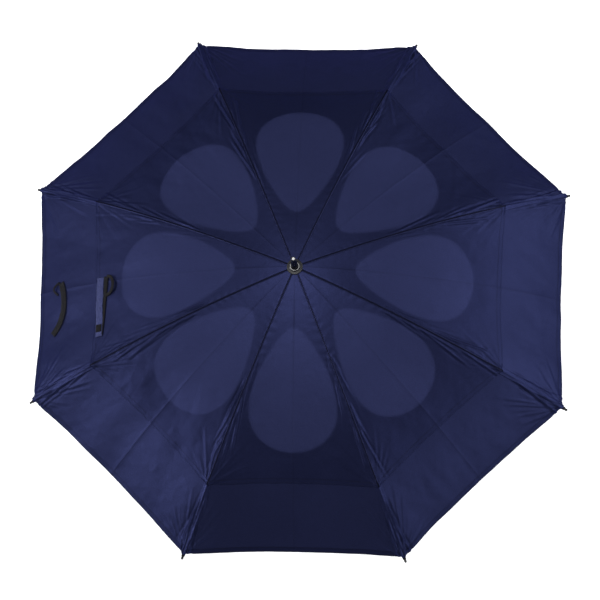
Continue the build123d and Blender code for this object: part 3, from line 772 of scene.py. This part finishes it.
def make_rib_band(rib):
    """Doubled cloth over the rib from the upper hem's corner to the rim corner, puckered along its edges."""
    half_width, pucker = 0.0095, 0.00028
    radius = np.linspace(UPPER_HEM - 0.012, RIM_RADIUS - 0.001, 60)
    half = np.array([0.08, 0.3, 0.6, 0.85, 0.97, 1])
    across = np.concatenate([-half[::-1], [0], half]) * half_width
    grid = []
    for offset in across:
        side = 1 if offset >= 0 else -1
        edge = abs(offset) / half_width
        lift = 0.0013 if edge < 0.9 else (0.0009 if edge < 0.99 else 0.0001)
        lift = lift + pucker * np.sin(radius / 0.0024 + side) * edge
        taper = 0.5 + 0.5 * np.clip((RIM_RADIUS - radius) / (RIM_RADIUS - UPPER_HEM), 0, 1)
        x, y = rib_to_panel(radius, abs(offset) * taper, side)
        grid.append(on_cloth("lower", rib, side, x, y, lift))
    grid = np.stack(grid, axis=1)
    faces = grid_faces(*grid.shape[:2])
    clear_of_seams = np.full(len(radius) * len(across), 0.02)
    numbers = {
        "to_rib": clear_of_seams,
        "to_crease": clear_of_seams,
        "to_hem": np.tile(half_width - np.abs(across) + HEM_WIDTH, len(radius)),
    }
    uv = np.stack([np.tile(across * 10, len(radius)), np.repeat(radius * 10, len(across))], axis=-1)
    piece = add_object(f"rib_band_{rib}", grid.reshape(-1, 3), faces, CLOTH_BAND, f"rib_{rib}", numbers, uv)
    return piece


def make_tip_pocket(rib):
    """Small sewn pocket that holds the cloth's corner on the rib's tip."""
    angle = rib_angle(rib)
    steps, turns = 9, 18
    rows = []
    for step in np.linspace(0, 1, steps):
        station = RIM_STATION - 0.016 + 0.020 * step
        radius, height = rib_point(station)
        slope = RIB_START_SLOPE + station / RIB_BOW
        size = 0.0033 + 0.0009 * sin(np.pi * min(1, step * 1.2))
        ring = []
        for turn in np.linspace(0, 2 * np.pi, turns, endpoint=False):
            up, wide = size * np.cos(turn), size * 1.25 * np.sin(turn)
            ring.append((radius + up * sin(slope), wide, height + up * cos(slope)))
        rows.append(ring)
    local = np.array(rows)
    x = local[..., 0] * cos(angle) - local[..., 1] * sin(angle)
    y = local[..., 0] * sin(angle) + local[..., 1] * cos(angle)
    points = np.stack([x, y, local[..., 2]], axis=-1).reshape(-1, 3)
    faces = grid_faces(steps, turns, wrap=True)
    piece = add_object(f"tip_pocket_{rib}", points, faces, BLACK_TAPE, f"rib_{rib}", uv=points[:, :2] * 10)
    return piece


def flat_cut_area(layer):
    """Area of one gore's cut in square metres: two bowed half panels, less two half vents."""
    corner = LAYERS[layer]["corner"]
    x = np.linspace(CLOTH_HOLE, corner * COS_HALF, 200)
    stretch = np.sqrt(1 + cloth_slope(x) ** 2)
    width = 2 * x * TAN_HALF
    area = float(np.sum((width * stretch)[1:] + (width * stretch)[:-1]) / 2 * (x[1] - x[0]))
    if layer == "lower":
        xs, ys = vent_outline(200)
        slant = np.sqrt(1 + cloth_slope(xs) ** 2)
        area -= 2 * float(np.sum((ys * slant)[1:] * np.diff(xs)))
    return area


def make_canopy():
    for rib in range(1, RIBS + 1):
        binding, band = make_vent_binding(rib), make_rib_band(rib)
        make_tip_pocket(rib)
        for layer in ("lower", "upper"):
            cloth = make_gore(layer, rib)
            stitching = make_stitching(layer, rib)
            furl(cloth)
            furl(stitching)
            area = flat_cut_area(layer)
        furl(binding)
        furl(band)


# ---------------------------------------------------------------- tie straps

# They lie on the panel between ribs 4 and 5 and run across its crease, on the side of rib 5
STRAP_RIB = 5
STRAP_SIDE = -1
STRAP_BODY = f"rib_{STRAP_RIB}"
UPPER_STRAP_WIDTH, LOWER_STRAP_WIDTH = 0.0195, 0.0165
UPPER_HEM_X = UPPER_HEM * COS_HALF - UPPER_HEM_HOLLOW


def strap_frame(layer, xs, ys, lift):
    """Centre line, sideways and up directions of a tape lying on the cloth."""
    centre = on_cloth(layer, STRAP_RIB, STRAP_SIDE, xs, ys, lift)
    up = cloth_normal(xs, STRAP_SIDE, STRAP_RIB)
    tangent = unit(np.gradient(centre, axis=0))
    across = unit(np.cross(tangent, up))
    return centre, across, unit(np.cross(across, tangent))


def make_upper_strap():
    """Cloth strap beside the upper hem, a little slack, with a patch of hook tape near its free end."""
    t = np.linspace(0, 1, 90)
    ys = -0.011 + 0.147 * t
    xs = UPPER_HEM_X - 0.015 + 0.0035 * np.sin(2.2 * t) - 0.004 * (t - 0.5)
    lift = 0.0019 + 0.0008 * np.sin(9 * t) ** 2 + 0.0006 * noise(t * 9, 0 * t, 7)
    centre, across, up = strap_frame("upper", xs, ys, lift)
    strap = ribbon("tie_strap_cloth", centre, across, up, UPPER_STRAP_WIDTH, 0.0016, CLOTH_STRAP, STRAP_BODY,
                   15, 0.0009)
    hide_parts("upper_tie_strap")
    pick = slice(71, 83)
    on_strap = centre[pick] + up[pick] * 0.0013
    patch = ribbon("tie_strap_hook_patch", on_strap, across[pick], up[pick], 0.0165, 0.0014, HOOK,
                   STRAP_BODY, 7)
    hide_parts("strap_hook_patch")
    return strap, patch


def make_upper_loop():
    """Black tape folded into a loop at the strap's sewn end, and its tail along the strap's inner edge."""
    t = np.linspace(0, 1, 46)
    xs = UPPER_HEM_X - 0.029 - 0.019 * np.sin(np.pi * t) ** 0.8 + 0.002 * t
    ys = -0.012 + 0.046 * (1 - np.cos(np.pi * t)) / 2
    centre, across, up = strap_frame("upper", xs, ys, 0.0022 + 0.004 * np.sin(np.pi * t))
    loop = ribbon("strap_loop", centre, across, up, 0.0080, 0.0012, BLACK_TAPE, STRAP_BODY, 7)
    t = np.linspace(0, 1, 60)
    xs = UPPER_HEM_X - 0.0275 + 0.0052 * t
    ys = -0.012 + 0.144 * t
    centre, across, up = strap_frame("upper", xs, ys, 0.0022 + 0 * t)
    width = 0.0120 - 0.0095 * t
    edge = ribbon("strap_edge_tape", centre, across, up, width, 0.0012, BLACK_TAPE, STRAP_BODY, 7)
    return loop, edge


def make_lower_strap():
    """Black tape in a shallow curve on the lower cloth, with a loop at its sewn end."""
    t = np.linspace(0, 1, 60)
    ys = -0.017 + 0.127 * t
    xs = np.polyval(np.polyfit((0, 0.3, 0.65, 1), (0.581, 0.5725, 0.5765, 0.600), 3), t)
    lift = 0.0022 + 0.0010 * np.sin(7 * t) ** 2
    centre, across, up = strap_frame("lower", xs, ys, lift)
    tape = ribbon("lower_strap_tape", centre, across, up, LOWER_STRAP_WIDTH, 0.0014, BLACK_TAPE,
                  STRAP_BODY, 9)
    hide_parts("lower_tie_strap")
    t = np.linspace(0, 1, 40)
    xs = 0.586 + 0.010 * np.sin(np.pi * t) + 0.002 * t
    ys = -0.019 + 0.032 * t
    centre, across, up = strap_frame("lower", xs, ys, 0.002 + 0.004 * np.sin(np.pi * t))
    loop = ribbon("lower_strap_loop", centre, across, up, 0.0055, 0.0010, BLACK_TAPE, STRAP_BODY, 7)
    return tape, loop


def make_straps():
    upper, patch = make_upper_strap()
    loop, edge = make_upper_loop()
    lower, lower_loop = make_lower_strap()
    for piece in (upper, patch, loop, edge):
        furl(piece)
    for piece in (lower, lower_loop):
        furl(piece)


# ---------------------------------------------------------------- handle


def grip_grooves(angle, height, bottom, top):
    """Depth of two crossing sets of diagonal grooves, which fade out towards the ends of the grip."""
    plain_end, run_in = 0.008, 0.006
    starts, rise, level, scale = 6, 0.0042, 0.72, 0.0032
    fade = np.clip((height - bottom - plain_end) / run_in, 0, 1)
    fade = fade * np.clip((top - plain_end - height) / run_in, 0, 1)
    first = np.clip(np.cos(starts * angle + height / rise), level, 1) - level
    second = np.clip(np.cos(starts * angle - height / rise), level, 1) - level
    return scale * np.maximum(first, second) * fade


def make_grip():
    """Foam sleeve with shallow diagonal grooves and rolled ends."""
    low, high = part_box("handle_grip")
    radius, bottom, top = high[0], low[2], high[2]
    wall = 0.0039
    inner = radius - wall
    rolled_end = [(inner, 0.0), (radius - 0.0016, 0.0), (radius - 0.0004, 0.0006), (radius, 0.002)]
    profile = [(r, bottom + inset) for r, inset in rolled_end]
    profile += [(radius, z) for z in np.linspace(bottom + 0.003, top - 0.003, 110)]
    profile += [(r, top - inset) for r, inset in rolled_end[::-1]]
    profile.append((inner, bottom))
    piece = lathe("foam_grip", profile, FOAM, "shaft", 96)
    mesh = piece.data
    points = np.zeros(len(mesh.vertices) * 3)
    mesh.vertices.foreach_get("co", points)
    points = points.reshape(-1, 3)
    reach = np.hypot(points[:, 0], points[:, 1])
    angle, height = np.arctan2(points[:, 1], points[:, 0]), points[:, 2]
    depth = np.where(reach > inner + wall / 2, grip_grooves(angle, height, bottom, top), 0)
    points[:, :2] *= ((reach - depth) / reach)[:, None]
    mesh.vertices.foreach_set("co", points.ravel())
    mesh.update()
    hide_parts("handle_grip")


# ---------------------------------------------------------------- light, floor and camera


LIGHT_TARGET = Vector((0, 0, HINGE_Z - 0.1))


def soft_box(name, place, size, power, colour):
    """A rectangle of light, size (wide, high), turned to the canopy and out of the camera's sight."""
    data = bpy.data.lights.new(name, "AREA")
    data.shape = "RECTANGLE"
    data.size, data.size_y = size
    data.energy, data.color = power, colour
    lamp = bpy.data.objects.new(name, data)
    lamp.visible_camera = False
    bpy.context.scene.collection.objects.link(lamp)
    lamp.location = place
    lamp.rotation_euler = (LIGHT_TARGET - Vector(place)).to_track_quat("-Z", "Y").to_euler()


def make_floor():
    """A plain pale floor under the grip, with a little light of its own so that it stays white in shade."""
    reach, low = 40.0, cad_box[0][2]
    corners = [(-reach, -reach, low), (reach, -reach, low), (reach, reach, low), (-reach, reach, low)]
    mesh = bpy.data.meshes.new("floor")
    mesh.from_pydata(corners, [], [(0, 1, 2, 3)])
    s = Shader("floor_paint")
    paint = s.finish(Base_Color=(0.92, 0.92, 0.92), Roughness=0.9, Emission_Color=(1.0, 1.0, 1.0),
                     Emission_Strength=0.36)
    mesh.materials.append(paint)
    floor = bpy.data.objects.new("floor", mesh)
    bpy.context.scene.collection.objects.link(floor)


WARM, COOL, WHITE = (1.0, 0.99, 0.97), (0.97, 0.98, 1.0), (1.0, 1.0, 1.0)
LIGHTS = {
    "left_box": {"place": (-4.2, -1.0, 2.2), "size": (3.0, 1.5), "power": 195, "colour": WARM},
    "right_box": {"place": (4.2, 0.2, 2.2), "size": (2.6, 1.5), "power": 108, "colour": COOL},
    "rear_left_box": {"place": (-3.3, 2.3, 2.2), "size": (1.2, 1.5), "power": 36, "colour": COOL},
    "rear_right_box": {"place": (3.3, 2.3, 2.2), "size": (1.2, 1.5), "power": 48, "colour": COOL},
    "front_right_box": {"place": (3.3, -2.2, 2.2), "size": (1.2, 1.5), "power": 36, "colour": COOL},
    "top_box": {"place": (-0.3, 0.45, 5.9), "size": (2.0, 2.0), "power": 265, "colour": WHITE},
}


def make_light():
    """Soft boxes all round, a dim world, and a plain backdrop colour that only the camera sees."""
    world = bpy.data.worlds.new("studio")
    world.use_nodes = True
    nodes, links = world.node_tree.nodes, world.node_tree.links
    nodes["Background"].inputs["Color"].default_value = (0.94, 0.96, 1.0, 1)
    nodes["Background"].inputs["Strength"].default_value = 0.15
    backdrop = nodes.new("ShaderNodeBackground")
    seen = nodes.new("ShaderNodeLightPath")
    mix = nodes.new("ShaderNodeMixShader")
    backdrop.inputs["Color"].default_value = (0.62, 0.63, 0.64, 1)
    links.new(seen.outputs["Is Camera Ray"], mix.inputs[0])
    links.new(nodes["Background"].outputs[0], mix.inputs[1])
    links.new(backdrop.outputs[0], mix.inputs[2])
    links.new(mix.outputs[0], nodes["World Output"].inputs["Surface"])
    bpy.context.scene.world = world
    for name, light in LIGHTS.items():
        soft_box(name, **light)


# Camera: nearly straight above, tipped and rolled a little, far off with a long lens
CAMERA_AZIMUTH = radians(11.4)
CAMERA_ELEVATION = radians(74.7)
CAMERA_ROLL = radians(-10.3)
TIP_RADIUS_IN_PICTURE = 0.488  # share of the picture's side
DISTANCE_IN_TIP_RADII = 20
AIM_IN_TIP_RADII = (0.007855, -0.057719)  # right and up from the middle of the canopy's depth
RIM_DEPTH_IN_TIP_RADII = 0.421


def make_camera():
    """Looks down on the canopy from a little to the front, with the canopy nearly filling a square picture."""
    tip_radius = rib_point(RIB_LENGTH)[0]
    apex = APEX_Z + UPPER_RISE + 0.0008
    level = cos(CAMERA_ELEVATION)
    back = Vector((sin(CAMERA_AZIMUTH) * level, -cos(CAMERA_AZIMUTH) * level, sin(CAMERA_ELEVATION)))
    right = Vector((0, 0, 1)).cross(back).normalized()
    up = back.cross(right)
    rolled_right = right * cos(CAMERA_ROLL) + up * sin(CAMERA_ROLL)
    rolled_up = up * cos(CAMERA_ROLL) - right * sin(CAMERA_ROLL)
    aim = Vector((0, 0, apex - RIM_DEPTH_IN_TIP_RADII * tip_radius / 2))
    aim += (rolled_right * AIM_IN_TIP_RADII[0] + rolled_up * AIM_IN_TIP_RADII[1]) * tip_radius
    data = bpy.data.cameras.new("camera")
    data.sensor_width = 36
    data.lens = TIP_RADIUS_IN_PICTURE * DISTANCE_IN_TIP_RADII * data.sensor_width
    data.clip_start, data.clip_end = 0.1, 200
    camera = bpy.data.objects.new("camera", data)
    bpy.context.scene.collection.objects.link(camera)
    turn = Matrix((rolled_right, rolled_up, back)).transposed()
    place = aim + back * DISTANCE_IN_TIP_RADII * tip_radius
    camera.matrix_world = Matrix.Translation(place) @ turn.to_4x4()
    bpy.context.scene.camera = camera


make_camera()
make_light()
make_floor()
bpy.context.scene.view_settings.view_transform = "Standard"
dress_cad_nodes()
make_canopy()
make_straps()
make_grip()

bpy.context.view_layer.update()
